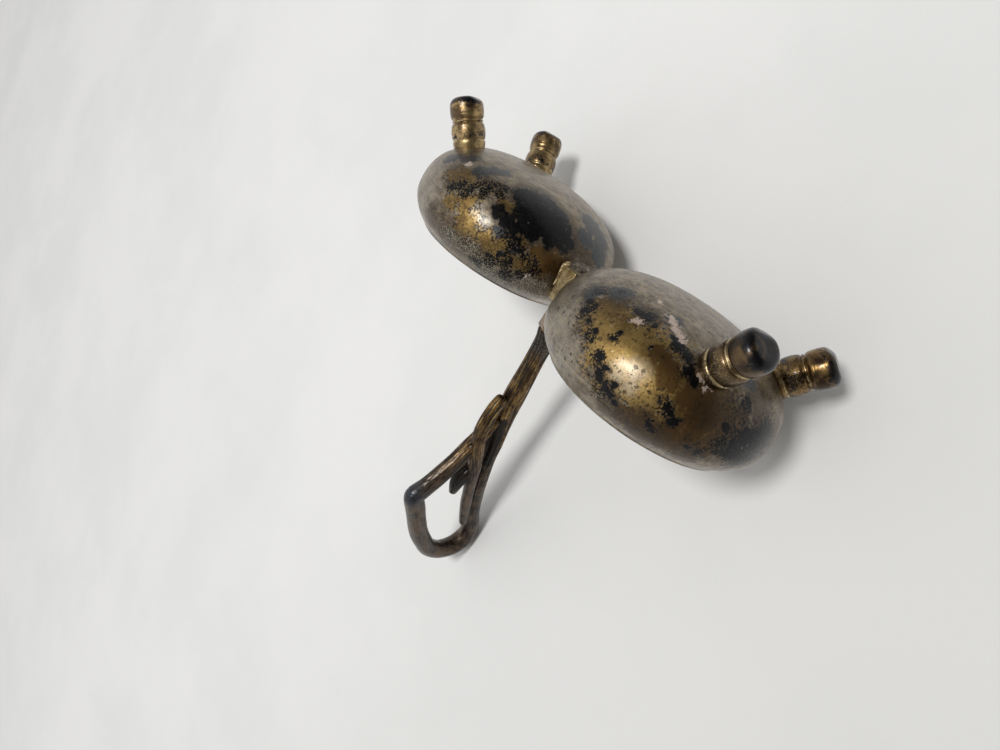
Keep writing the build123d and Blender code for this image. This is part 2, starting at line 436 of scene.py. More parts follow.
def bark_depth(angle, along, seed):
    """How deep the long grooves of the cast twig are at a place, 0 to 1, and its broad swelling."""
    c, s = math.cos(angle), math.sin(angle)
    first, second = (grooves_at(c, s, along, seed, family) for family in FINE_GROOVES)
    deep = grooves_at(c, s, along, seed, DEEP_GROOVES)
    swell = noise.noise(Vector((c * 0.6, s * 0.6, along * 0.14 + seed + 20)))
    return min(1.0, deep + (first + second)), swell


def strand_piece(name, stations, seed, material, step, around, depth):
    """A grooved rod through elliptical stations, rounded at both ends.

    It has a ring every step millimetres with around points on it, and grooves up to depth millimetres deep.
    """
    path, along = smooth_path(stations, step)
    tangents = np.gradient(path[:, :3], axis=0)
    tangents /= np.linalg.norm(tangents, axis=1)[:, None]
    rings, grooves, wraps = [], [], []
    total = along[-1]
    for (x, y, z, wide, across), tangent, s in zip(path, tangents, along):
        tangent = Vector(tangent)
        side = Vector((1, 0, 0))
        side = (side - tangent * side.dot(tangent)).normalized()
        other = tangent.cross(side)
        end = min(s, total - s)
        taper = math.sqrt(max(0.0, 1 - (1 - min(end / (END_ROUNDING * across), 1)) ** 2))
        taper = max(taper, END_CLOSES_TO)
        t = min(max((z - BARK_FADES[0]) / (BARK_FADES[1] - BARK_FADES[0]), 0), 1)
        bark = 1 - BARK_FADED * t * t * (3 - 2 * t)
        ring, groove, wrap = [], [], []
        for k in range(around):
            a = 2 * math.pi * k / around
            g, swell = bark_depth(a, s, seed)
            g *= bark
            shrink = depth * g * min(1, across / FULL_GROOVE_WIDTH) - SKIN - SWELLING * swell
            rx = max(wide - shrink, LEAST_HALF_WIDTH) * taper
            ra = max(across - shrink, LEAST_HALF_WIDTH) * taper
            p = Vector((x, y, z)) + side * (rx * math.cos(a)) + other * (ra * math.sin(a))
            p.z = min(p.z, HANDLE_TOP_Z - EQUATOR_Z)
            ring.append(p)
            groove.append(g)
            wrap.append((across * math.cos(a), across * math.sin(a), s))
        rings.append(ring)
        grooves.append(groove)
        wraps.append(wrap)
    return tube(name, rings, material, (0, 0, EQUATOR_Z), {"groove": grooves, "wrap": wraps})


# -------- materials


class Shade:
    """Builds one procedural material. Most methods add nodes and return their output socket."""

    def __init__(self, name):
        self.material = bpy.data.materials.new(name)
        self.material.use_nodes = True
        self.tree = self.material.node_tree
        self.tree.nodes.clear()
        self.surface = self.node("OutputMaterial").inputs["Surface"]
        self.shader = self.node("BsdfPrincipled")
        self.put(self.surface, self.shader.outputs[0])
        self.mm = self.vector("SCALE", self.node("TexCoord").outputs["Object"], scale=1 / MM)
        apart = self.node("SeparateXYZ")
        self.put(apart.inputs[0], self.mm)
        self.x, self.y, self.z = apart.outputs

    def node(self, kind):
        return self.tree.nodes.new("ShaderNode" + kind)

    def put(self, socket, value):
        """Links the value to the socket if it is one too, and sets it there if not."""
        if isinstance(value, bpy.types.NodeSocket):
            self.tree.links.new(value, socket)
        elif isinstance(value, tuple) and len(value) == 3 and len(socket.default_value) == 4:
            socket.default_value = (*value, 1.0)
        else:
            socket.default_value = value

    def maths(self, operation, a, b=0.0, c=0.0):
        node = self.node("Math")
        node.operation = operation
        for socket, value in zip(node.inputs, (a, b, c)):
            self.put(socket, value)
        return node.outputs[0]

    def vector(self, operation, a, b=None, scale=None):
        node = self.node("VectorMath")
        node.operation = operation
        self.put(node.inputs[0], a)
        if b is not None:
            self.put(node.inputs[1], b)
        if scale is not None:
            self.put(node.inputs["Scale"], scale)
        return node.outputs["Value" if operation in ("DISTANCE", "DOT_PRODUCT") else "Vector"]

    def combine(self, x, y, z):
        node = self.node("CombineXYZ")
        for socket, value in zip(node.inputs, (x, y, z)):
            self.put(socket, value)
        return node.outputs[0]

    def noise(self, place, scale, detail=3.0, rough=0.55, colour=False):
        node = self.node("TexNoise")
        self.put(node.inputs["Vector"], place)
        node.inputs["Scale"].default_value = scale
        node.inputs["Detail"].default_value = detail
        node.inputs["Roughness"].default_value = rough
        return node.outputs["Color" if colour else "Fac"]

    def cells(self, place, scale):
        """How far the nearest of scattered points is, 0 on it."""
        node = self.node("TexVoronoi")
        self.put(node.inputs["Vector"], place)
        node.inputs["Scale"].default_value = scale
        return node.outputs["Distance"]

    def step(self, value, low, high, top=1.0):
        """A smooth step from 0 to top as the value goes from low to high."""
        node = self.node("MapRange")
        node.interpolation_type = "SMOOTHSTEP"
        for socket, number in zip(node.inputs, (value, low, high, 0.0, top)):
            self.put(socket, number)
        return node.outputs[0]

    def mix(self, factor, a, b):
        """Colour a, and b where the factor is 1."""
        node = self.node("Mix")
        node.data_type = "RGBA"
        for index, value in ((0, factor), (6, a), (7, b)):
            self.put(node.inputs[index], value)
        return node.outputs[2]

    def lay(self, colour, *masks):
        """Lays a colour over the material's where all the masks are 1."""
        self.colour = self.mix(self.times(*masks), self.colour, colour)

    def lerp(self, factor, a, b):
        """Number a, and b where the factor is 1."""
        node = self.node("Mix")
        node.data_type = "FLOAT"
        for index, value in ((0, factor), (2, a), (3, b)):
            self.put(node.inputs[index], value)
        return node.outputs[0]

    def warp(self, place, scale, amount, detail=3.0):
        """The place moved about by noise, by up to about half of amount millimetres."""
        drift = self.vector("SUBTRACT", self.noise(place, scale, detail, colour=True), (0.5, 0.5, 0.5))
        return self.vector("ADD", place, self.vector("SCALE", drift, scale=amount))

    def spots(self, place, centres):
        """1 in the middle of the nearest spot, 0 at its edge, below 0 outside: (point, radius)."""
        level = None
        for point, radius in centres:
            away = self.vector("DISTANCE", place, point)
            one = self.maths("MULTIPLY_ADD", away, -1.0 / radius, 1.0)
            level = one if level is None else self.most(level, one)
        return level

    def fold(self, operation, values):
        total = values[0]
        for value in values[1:]:
            total = self.maths(operation, total, value)
        return total

    def add(self, *values):
        return self.fold("ADD", values)

    def times(self, *values):
        return self.fold("MULTIPLY", values)

    def most(self, *values):
        return self.fold("MAXIMUM", values)

    def centred(self, value, strength=None):
        """A noise brought to 0 in its middle, times a strength."""
        moved = self.add(value, -0.5)
        return moved if strength is None else self.times(moved, strength)

    def vein(self, value):
        """A noise made 0 along the lines where it crosses its middle."""
        return self.maths("ABSOLUTE", self.centred(value))

    def attribute(self, name, output="Fac"):
        """What the mesh keeps on its points under a name."""
        node = self.node("Attribute")
        node.attribute_name = name
        return node.outputs[output]

    def coat(self, weight, roughness):
        """A clear layer over the metal."""
        self.put(self.shader.inputs["Coat Weight"], weight)
        self.put(self.shader.inputs["Coat Roughness"], roughness)

    def finish(self, roughness, metallic, height):
        """Gives the shader its looks, with the height in millimetres, and returns the material."""
        bump = self.node("Bump")
        bump.inputs["Distance"].default_value = MM
        self.put(bump.inputs["Height"], height)
        self.put(self.shader.inputs["Base Color"], self.colour)
        self.put(self.shader.inputs["Roughness"], roughness)
        self.put(self.shader.inputs["Metallic"], metallic)
        self.put(self.shader.inputs["Normal"], bump.outputs[0])
        return self.material


def patches(rows):
    """Rows of (azimuth in degrees, height, radius) as spots on a bowl's outside, from its centre."""
    centres = []
    for azimuth, height, radius in rows:
        reach, angle = bowl_radius_at(height), math.radians(azimuth)
        centres.append(((reach * math.cos(angle), reach * math.sin(angle), height), radius))
    return centres


# Colours of the bowls, some used on the feet too.
BLACK = (0.005, 0.005, 0.006)
BROWN_FILM = (0.050, 0.030, 0.014)
BLUE_GREY = (0.040, 0.050, 0.062)
FILM_DARK = (0.105, 0.084, 0.062)
FILM = (0.315, 0.264, 0.200)
VEIL_AND_HIGHLIGHT = (0.40, 0.36, 0.30)
BRASS_DARK = (0.135, 0.078, 0.022)
BRASS = (0.300, 0.195, 0.060)
BRASS_PALE = (0.42, 0.31, 0.140)
ROSE = (0.66, 0.54, 0.46)
FRECKLE = (0.036, 0.024, 0.013)
SANDY = (0.38, 0.35, 0.265)
PALE_SPECK = (0.62, 0.58, 0.50)
INSIDE_DARK = (0.070, 0.050, 0.030)
INSIDE_LIGHT = (0.255, 0.200, 0.130)
INSIDE_BROWN = (0.060, 0.036, 0.016)
INSIDE_CRUMB = (0.015, 0.012, 0.010)
AMBER_STRENGTH = 0.92


def bowl_metal(
    name, seed, gold, black, flaky, amber, bluish, scraped, browned, grainy, veiled_and_highlit, amber_colour, freckled
):
    """Spun brass under a grey-brown film, with tarnish that flakes, freckles, scratches and hairlines.

    The arguments from gold to veiled_and_highlit are rows of places on the outside; the veil is partly
    painted highlight.
    """
    s = Shade(name)
    inside = s.attribute("inside")
    outside = s.maths("SUBTRACT", 1.0, inside)
    place = s.vector("ADD", s.mm, (seed * 31.0, seed * 17.0, seed * 5.0))
    flat = s.maths("SQRT", s.add(s.times(s.x, s.x), s.times(s.y, s.y), 0.01))
    across = s.combine(s.maths("DIVIDE", s.x, flat), s.maths("DIVIDE", s.y, flat), 0.0)
    meridian = s.add(flat, s.z)
    rise = s.combine(0.0, 0.0, s.times(meridian, 2.6))
    spin = s.vector("ADD", s.vector("SCALE", across, scale=1.2), rise)
    lines = s.noise(spin, 1.0, 5.0, 0.75)
    broad = s.noise(place, 0.085, 3.0, 0.6)
    middle = s.noise(place, 0.42, 5.0, 0.62)
    ragged = s.noise(place, 0.62, 8.0, 0.74)
    crumbs = s.noise(place, 2.1, 6.0, 0.74)
    grain = s.noise(place, 4.6, 3.0, 0.6)
    rough_edge = s.centred(ragged, 3.4)
    fine_edge = s.centred(crumbs, 2.2)
    bent = s.warp(s.mm, 0.30, 3.0)

    def zone(rows, rough, fine=0.0):
        """1 in the middle of the nearest row's place, 0 near its edge, which noise makes ragged."""
        level = s.add(s.spots(bent, patches(rows)), s.times(rough_edge, rough))
        return s.add(level, s.times(fine_edge, fine)) if fine else level

    # The grey-brown film that most of the shell still has.
    turned = s.add(middle, s.times(lines, 0.9))
    s.colour = s.mix(s.step(turned, 0.78, 1.16), FILM_DARK, FILM)

    # Brass where the film is rubbed through, with a ragged edge.
    bare_brass = s.mix(s.step(s.add(broad, s.times(middle, 0.6)), 0.62, 0.98), BRASS_DARK, BRASS)
    bare_brass = s.mix(s.step(crumbs, 0.50, 0.68, 0.55), bare_brass, BRASS_PALE)
    gold_level = zone(gold, 1.0, 0.35)
    flecks = s.most(s.step(ragged, 0.560, 0.580, 0.75), s.step(crumbs, 0.540, 0.570, 0.75))
    rubbed_through = s.most(s.step(gold_level, -0.05, 0.07), flecks)
    s.lay(bare_brass, rubbed_through)
    s.lay(amber_colour, s.step(zone(amber, 0.6), -0.05, 0.20, AMBER_STRENGTH))
    # Painted highlight: a pale grey veil, partly silvery film, laid where the highlights fall so they read
    # whiter.
    s.lay(VEIL_AND_HIGHLIGHT, s.step(zone(veiled_and_highlit, 0.3), -0.4, 0.9, 0.45))
    brown_level = zone(browned, 0.5)
    s.lay(BROWN_FILM, s.step(brown_level, -0.20, 0.60, 0.72))

    # Tarnish: brown and blue films, crisp black patches, and black that flakes into crumbs.
    black_level = zone(black, 0.55, 0.5)
    film = s.step(black_level, -0.85, 0.05, 0.7)
    s.lay(BROWN_FILM, film)
    s.lay(BLUE_GREY, s.step(zone(bluish, 0.6, 0.2), -0.05, 0.30, 0.85))
    crisp = s.step(black_level, -0.02, 0.08)
    flakes = s.step(s.add(s.maths("MINIMUM", zone(flaky, 0.5), 0.5), s.centred(crumbs, -5.0)), 0.10, 0.32)
    scatter = s.step(s.add(crumbs, s.times(brown_level, -0.03)), 0.435, 0.405)
    scatter = s.times(scatter, s.step(broad, 0.38, 0.50))
    border = s.times(s.step(s.maths("ABSOLUTE", gold_level), 0.30, 0.14), s.step(crumbs, 0.492, 0.470))
    dark = s.most(crisp, flakes, s.times(s.most(scatter, border), 0.85))
    freckles = s.step(s.cells(s.warp(place, 1.1, 1.0), 0.60), 0.27, 0.20)
    freckles = s.times(freckles, s.step(s.noise(place, 0.22), 0.40, 0.47, freckled))
    s.lay(FRECKLE, freckles, 0.8)
    grainy_level = s.step(zone(grainy, 0.5), -0.1, 0.5)
    s.lay(SANDY, grainy_level, s.step(grain, 0.52, 0.58))
    pitted = s.times(grainy_level, s.step(grain, 0.47, 0.43))
    dark = s.times(s.most(dark, s.times(pitted, 0.9)), outside)
    s.lay(BLACK, dark)

    # Pale specks, pale scratches, dark hairlines and scraped places.
    pale = s.times(s.step(s.cells(place, 0.8), 0.12, 0.07), s.step(s.noise(place, 0.30, 2.0), 0.58, 0.64))
    s.lay(PALE_SPECK, pale)
    slant_x = s.add(s.times(s.x, 0.9), s.times(s.y, 0.35))
    slant = s.combine(slant_x, s.times(s.add(s.y, s.times(s.z, 1.3)), 0.12), s.z)
    scratches = s.step(s.vein(s.noise(slant, 1.6, 2.0, 0.4)), 0.006, 0.0)
    scratches = s.times(scratches, s.step(s.noise(place, 0.12, 2.0), 0.50, 0.62))
    s.lay(BRASS_PALE, scratches, 0.5)
    across_x = s.add(s.times(s.x, 0.3), s.times(s.y, 0.9))
    across_lines = s.combine(across_x, s.times(s.add(s.x, s.z), 0.14), s.times(s.z, 0.8))
    hairlines = s.step(s.vein(s.noise(across_lines, 1.0, 4.0, 0.62)), 0.010, 0.002)
    hairlines = s.times(hairlines, s.step(s.noise(place, 0.10), 0.45, 0.54), outside)
    s.lay(BLACK, hairlines, 0.75)
    scrape_level = s.add(s.spots(s.warp(s.mm, 0.8, 3.0), patches(scraped)), s.times(fine_edge, 1.8))
    scrape = s.times(s.step(scrape_level, 0.0, 0.15), outside)
    s.lay(ROSE, scrape, 0.9)

    # The inside, turned smooth, brown towards the bottom.
    lined = s.mix(s.step(turned, 0.74, 1.14), INSIDE_DARK, INSIDE_LIGHT)
    lined = s.mix(s.step(s.add(s.z, s.times(broad, 12.0)), 1.0, -6.0, 0.65), lined, INSIDE_BROWN)
    lined = s.mix(s.step(s.add(ragged, s.times(broad, 0.5)), 0.74, 0.80, 0.7), lined, BRASS)
    lined = s.mix(s.step(crumbs, 0.43, 0.40, 0.8), lined, INSIDE_CRUMB)
    s.lay(lined, inside)

    roughness = s.add(0.30, s.times(middle, 0.14), s.times(lines, 0.12), s.times(grain, 0.06))
    roughness = s.lerp(dark, roughness, 0.26)
    roughness = s.lerp(scrape, roughness, 0.6)
    metallic = s.lerp(dark, s.lerp(film, 1.0, 0.85), 0.85)
    height = s.add(
        s.times(middle, 0.07), s.times(grain, 0.006), s.times(lines, 0.020),
        s.times(rubbed_through, -0.012), s.times(dark, 0.016), s.times(scratches, -0.02),
        s.times(scrape, crumbs, 0.10), s.times(freckles, -0.02), s.times(pitted, -0.02),
    )
    s.coat(s.lerp(dark, 0.42, 0.20), 0.24)
    return s.finish(roughness, metallic, height)


# Colours of the feet.
FOOT_PIT = (0.020, 0.013, 0.008)
FOOT_RING_HIGHLIGHT = (0.48, 0.37, 0.20)
FOOT_BLACK = (0.009, 0.009, 0.011)
FOOT_END_BROWN = (0.070, 0.045, 0.025)
FOOT_SPECK = (0.020, 0.016, 0.014)

# How far from the bowl, in millimetres, a foot's two pale rings of painted highlight are, at a groove and a
# bead.
FOOT_HIGHLIGHT_RINGS = (2.12, 6.45)


def foot_metal(name, seed, gold, shadow, axis):
    """Turned bronze with fine lines, pale rings of painted highlight, black crumbs at the base and a
    blackened end.
    """
    s = Shade(name)
    place = s.vector("ADD", s.mm, (seed * 13.0, seed * 7.0, 0.0))
    out = s.vector("DOT_PRODUCT", s.mm, tuple(axis))
    off_axis = s.vector("SUBTRACT", s.mm, s.vector("SCALE", tuple(axis), scale=out))
    middle = s.noise(place, 0.32, 4.0, 0.55)
    ragged = s.noise(place, 0.75, 7.0, 0.72)
    grain = s.noise(place, 4.2, 4.0, 0.7)
    spin = s.vector("ADD", s.vector("SCALE", off_axis, scale=0.15), s.combine(0.0, 0.0, s.times(out, 4.0)))
    turned = s.noise(spin, 1.0, 3.0, 0.6)
    s.colour = s.mix(s.step(s.add(middle, s.times(ragged, 0.25)), 0.50, 0.72), shadow, gold)
    s.lay(shadow, s.step(turned, 0.52, 0.66, 0.45))
    lower = s.step(s.add(out, s.times(middle, 3.0)), 9.0, 5.5)
    s.lay(BRASS_PALE, lower, s.step(grain, 0.55, 0.62))
    pitted = s.times(lower, s.step(grain, 0.45, 0.40))
    s.lay(FOOT_PIT, pitted, 0.8)
    # Painted highlight: pale rings where the turned groove and bead catch the light.
    for distance in FOOT_HIGHLIGHT_RINGS:
        away = s.maths("ABSOLUTE", s.add(out, -distance))
        s.lay(FOOT_RING_HIGHLIGHT, s.step(away, 0.34, 0.20), s.step(ragged, 0.45, 0.54))
    base_dirt = s.times(s.step(out, 2.3, 2.7), s.step(out, 5.0, 2.8), s.step(ragged, 0.50, 0.54))
    end = s.step(s.add(out, s.times(ragged, 9.0)), 14.4, 15.2)
    dark = s.most(base_dirt, end)
    s.lay(FOOT_BLACK, dark)
    s.lay(FOOT_END_BROWN, end, s.step(middle, 0.52, 0.64, 0.8))
    specks = s.step(s.noise(place, 0.9, 6.0, 0.7), 0.63, 0.66)
    s.lay(FOOT_SPECK, specks, 0.7)
    roughness = s.add(0.22, s.times(middle, 0.18), s.times(pitted, 0.12))
    metallic = s.lerp(dark, 1.0, 0.85)
    height = s.add(
        s.times(middle, 0.06), s.times(grain, lower, 0.03), s.times(turned, 0.04), s.times(dark, 0.015)
    )
    s.coat(0.3, 0.15)
    return s.finish(roughness, metallic, height)


# Colours of the bridge.
BRIDGE_DARK = (0.20, 0.135, 0.055)
BRIDGE_LIGHT = (0.50, 0.40, 0.215)
FILED = (0.14, 0.095, 0.042)
BRIDGE_GRAIN = (0.045, 0.034, 0.020)
BRIDGE_UNDER = (0.115, 0.092, 0.070)
BRIDGE_HIGH = (0.36, 0.30, 0.28)
BRIDGE_DIRT = (0.05, 0.035, 0.022)
SOLDER_CRACK = (0.020, 0.015, 0.011)


def bridge_metal():
    """Pale hand-filed brass, darker and granular towards the handle."""
    s = Shade("bridge_brass")
    middle = s.noise(s.mm, 0.5, 5.0, 0.6)
    grain = s.noise(s.mm, 3.4, 5.0, 0.75)
    slant = s.combine(s.times(s.add(s.x, s.times(s.z, 0.8)), 3.0), s.times(s.y, 0.4), s.times(s.z, 0.3))
    filing = s.noise(slant, 1.3, 3.0, 0.6)
    s.colour = s.mix(s.step(s.add(middle, s.times(grain, 0.4)), 0.56, 0.86), BRIDGE_DARK, BRIDGE_LIGHT)
    s.lay(FILED, s.step(filing, 0.50, 0.70, 0.6))
    granular = s.step(s.add(s.z, s.times(middle, 3.0)), -2.0, 1.5)
    s.lay(BRIDGE_GRAIN, granular, s.step(grain, 0.50, 0.43, 0.8))
    under = s.step(s.z, -4.95, -5.25)
    s.lay(BRIDGE_UNDER, under, 0.75)
    high = s.step(s.z, 2.0, 5.5)
    s.lay(BRIDGE_HIGH, high, 0.55)
    dirt = s.step(s.noise(s.mm, 0.9, 5.0, 0.7), 0.58, 0.66)
    s.lay(BRIDGE_DIRT, dirt, 0.75)
    roughness = s.add(0.26, s.times(middle, 0.2), s.times(dirt, 0.15))
    metallic = s.lerp(dirt, 1.0, 0.6)
    height = s.add(s.times(middle, 0.10), s.times(grain, 0.05), s.times(filing, 0.05))
    return s.finish(roughness, metallic, height)


def solder_metal(name, low, high, wrinkle):
    """Lumpy solder: its dark and light colours, and how deep it is wrinkled in millimetres."""
    s = Shade(name)
    lumps = s.noise(s.warp(s.mm, 0.8, 1.4), 0.9, 5.0, 0.65)
    fine = s.noise(s.mm, 3.6, 5.0, 0.7)
    s.colour = s.mix(s.step(s.add(lumps, s.times(fine, 0.3)), 0.52, 0.78), low, high)
    cracks = s.step(s.vein(lumps), 0.03, 0.0)
    s.lay(SOLDER_CRACK, cracks, 0.7)
    height = s.add(s.times(lumps, wrinkle), s.times(fine, 0.05), s.times(cracks, -0.08))
    return s.finish(s.add(0.30, s.times(fine, 0.2)), s.lerp(cracks, 1.0, 0.7), height)


# Colours of the handle.
TWIG_DARK = (0.060, 0.032, 0.012)
TWIG_LIGHT = (0.250, 0.145, 0.048)
TWIG_RIDGE_HIGHLIGHT = (0.50, 0.34, 0.145)
TWIG_THREAD = (0.018, 0.012, 0.008)
LOOP_DARK = (0.024, 0.020, 0.018)
LOOP_LIGHT = (0.102, 0.074, 0.054)
LOOP_WORN = (0.140, 0.108, 0.082)
ROOT_DARK = (0.020, 0.020, 0.021)
ROOT_LIGHT = (0.150, 0.135, 0.110)
TIP_BLUE_SHEEN = (0.045, 0.052, 0.064)
GROOVE_BLACK = (0.010, 0.008, 0.007)
TWIG_PIT = (0.016, 0.012, 0.010)

# The painted blue-grey sheen on the tip of the loop, from the handle's origin: (point, radius).
BLUE_SHEEN_TIP = (((0.0, 12.2, 62.0), 5.0), ((0.0, 9.0, 66.5), 3.0))


def handle_metal():
    """Cast twig: golden ridges, partly painted highlight, between dark grooves, a greyer granular root and a
    smooth dark loop.
    """
    s = Shade("handle_metal")
    groove = s.attribute("groove")
    middle = s.noise(s.mm, 0.30, 5.0, 0.62)
    ragged = s.noise(s.mm, 0.8, 7.0, 0.74)
    grain = s.noise(s.mm, 3.0, 5.0, 0.7)
    wrap = s.vector("MULTIPLY", s.attribute("wrap", "Vector"), (1.0, 1.0, 0.11))
    streak = s.noise(wrap, 1.7, 5.0, 0.62)
    thread = s.noise(s.vector("ADD", wrap, (7.0, 3.0, 5.0)), 3.6, 3.0, 0.55)
    s.colour = s.mix(s.step(s.add(middle, s.times(ragged, 0.5)), 0.62, 0.90), TWIG_DARK, TWIG_LIGHT)
    # Golden streaks along the strands: partly brass colour, partly painted ridge highlight.
    s.lay(TWIG_RIDGE_HIGHLIGHT, s.step(streak, 0.55, 0.68, 0.8))
    threads = s.step(thread, 0.54, 0.64)
    s.lay(TWIG_THREAD, threads, 0.75)
    loop = s.step(s.add(s.z, s.times(middle, 10.0)), 44.0, 62.0)
    loop_colour = s.mix(s.step(s.add(middle, s.times(streak, 0.7)), 0.68, 0.98), LOOP_DARK, LOOP_LIGHT)
    loop_colour = s.mix(s.step(ragged, 0.54, 0.62, 0.4), loop_colour, LOOP_WORN)
    s.lay(loop_colour, loop, 0.92)
    root = s.step(s.add(s.z, s.times(ragged, 8.0)), 23.0, 19.0)
    root_colour = s.mix(s.step(grain, 0.44, 0.58), ROOT_DARK, ROOT_LIGHT)
    s.lay(root_colour, root, 0.85)
    # Painted sheen: a blue-grey tint on the loop's tip.
    blue_sheen_level = s.add(s.spots(s.warp(s.mm, 0.3, 2.0), BLUE_SHEEN_TIP), s.centred(ragged, 1.5))
    s.lay(TIP_BLUE_SHEEN, s.step(blue_sheen_level, 0.0, 0.6, 0.85))
    # Painted shade: black laid in the hollows between the strands.
    black_level = s.add(s.spots(s.warp(s.mm, 0.5, 1.6), RECESS_SHADE_SPOTS), s.centred(ragged, 1.2))
    dark = s.step(s.add(groove, s.centred(grain, 0.7)), 0.30, 0.80)
    dark = s.most(dark, s.times(s.step(black_level, 0.0, 0.25), 0.95))
    s.lay(GROOVE_BLACK, dark, 0.93)
    pits = s.step(ragged, 0.575, 0.61)
    s.lay(TWIG_PIT, pits, 0.65)
    roughness = s.add(0.25, s.times(middle, 0.16), s.times(dark, 0.25), s.times(root, 0.12))
    metallic = s.lerp(dark, 1.0, 0.6)
    height = s.add(
        s.times(grain, 0.04), s.times(streak, 0.14), s.times(threads, -0.05), s.times(pits, -0.04),
        s.times(ragged, s.lerp(loop, 0.10, 0.03)),
    )
    s.coat(0.2, 0.2)
    return s.finish(roughness, metallic, height)


# -------- pieces

# Each row is (azimuth, height above the equator, radius) on the bowl's outside.
left_material = bowl_metal(
    "bowl_metal_left",
    1.0,
    gold=(
        (94, -8.2, 2.6), (87, -9.2, 2.4), (74, -5.4, 2.2), (56, -8.8, 2.4), (68, -2.4, 3.0),
        (64, -0.2, 2.6), (55, -1.0, 3.0), (47, -2.2, 2.6), (48, 0.6, 2.6), (39, 0.2, 3.0), (41, -5.0, 2.2),
        (34, -1.6, 2.4), (82, -3.4, 2.0),
    ),
    black=(
        (52, -12.0, 2.6), (46, -12.9, 3.0), (35, -13.0, 3.4), (26, -12.2, 3.2), (20, -10.6, 2.8),
        (18, -8.6, 2.4), (35, -9.6, 3.4), (45, -9.8, 3.0), (38, -7.4, 2.0), (28, -9.0, 3.2),
        (35, -11.4, 4.0), (58, -7.4, 1.6), (52, -7.3, 2.0), (46, -7.0, 2.0),
    ),
    flaky=(
        (88, -5.9, 1.8), (84, -7.3, 1.8), (79, -7.9, 2.0), (77, -9.6, 1.8), (72, -10.3, 2.0),
        (66, -11.4, 2.0), (64, -10.2, 1.8), (71, -9.0, 1.8), (79, -6.6, 1.6), (42, -3.6, 2.2),
        (36, -2.9, 1.8), (30, -1.8, 1.8), (27, -0.6, 1.6), (43, 0.4, 2.4), (49, 1.9, 2.2), (38, 3.0, 2.2),
        (55, 4.2, 2.0), (33, 1.5, 1.6), (47, -4.8, 1.8),
    ),
    amber=((29, -4.3, 2.6), (23, -4.2, 2.6), (20, -5.8, 2.2), (25, -1.6, 2.4), (17, -4.6, 2.6)),
    bluish=(
        (112, -9.8, 2.8), (104, -11.3, 2.6), (86, -11.2, 2.4), (83, -12.6, 2.4), (77, -13.4, 2.0),
        (-12, -12.8, 4.2), (-16, -11.0, 4.0), (-11, -8.5, 3.6), (0, -10.8, 3.0), (52, -4.2, 1.4),
        (41, -2.8, 1.3), (46, -0.6, 1.0),
    ),
    scraped=((30, 1.0, 0.5), (98, -10.8, 0.8)),
    browned=(
        (62, 3.6, 5.5), (50, 4.8, 5.0), (76, 3.0, 5.5), (38, 5.2, 5.0), (90, 2.0, 4.0), (8, -9.0, 5.5),
        (2, -5.0, 5.5), (14, -3.0, 4.5), (24, 4.6, 4.5), (-8, -2.0, 5.0),
    ),
    veiled_and_highlit=((61, -4.6, 2.0), (67, -5.4, 1.8), (112, -4.0, 5.5), (100, 0.5, 5.0)),
    grainy=((62, 3.4, 4.0), (50, 4.4, 4.4), (38, 4.6, 4.4), (28, 4.0, 4.2), (20, 2.6, 4.0), (74, 3.2, 3.0)),
    amber_colour=(0.190, 0.105, 0.028),
    freckled=0.3,
)
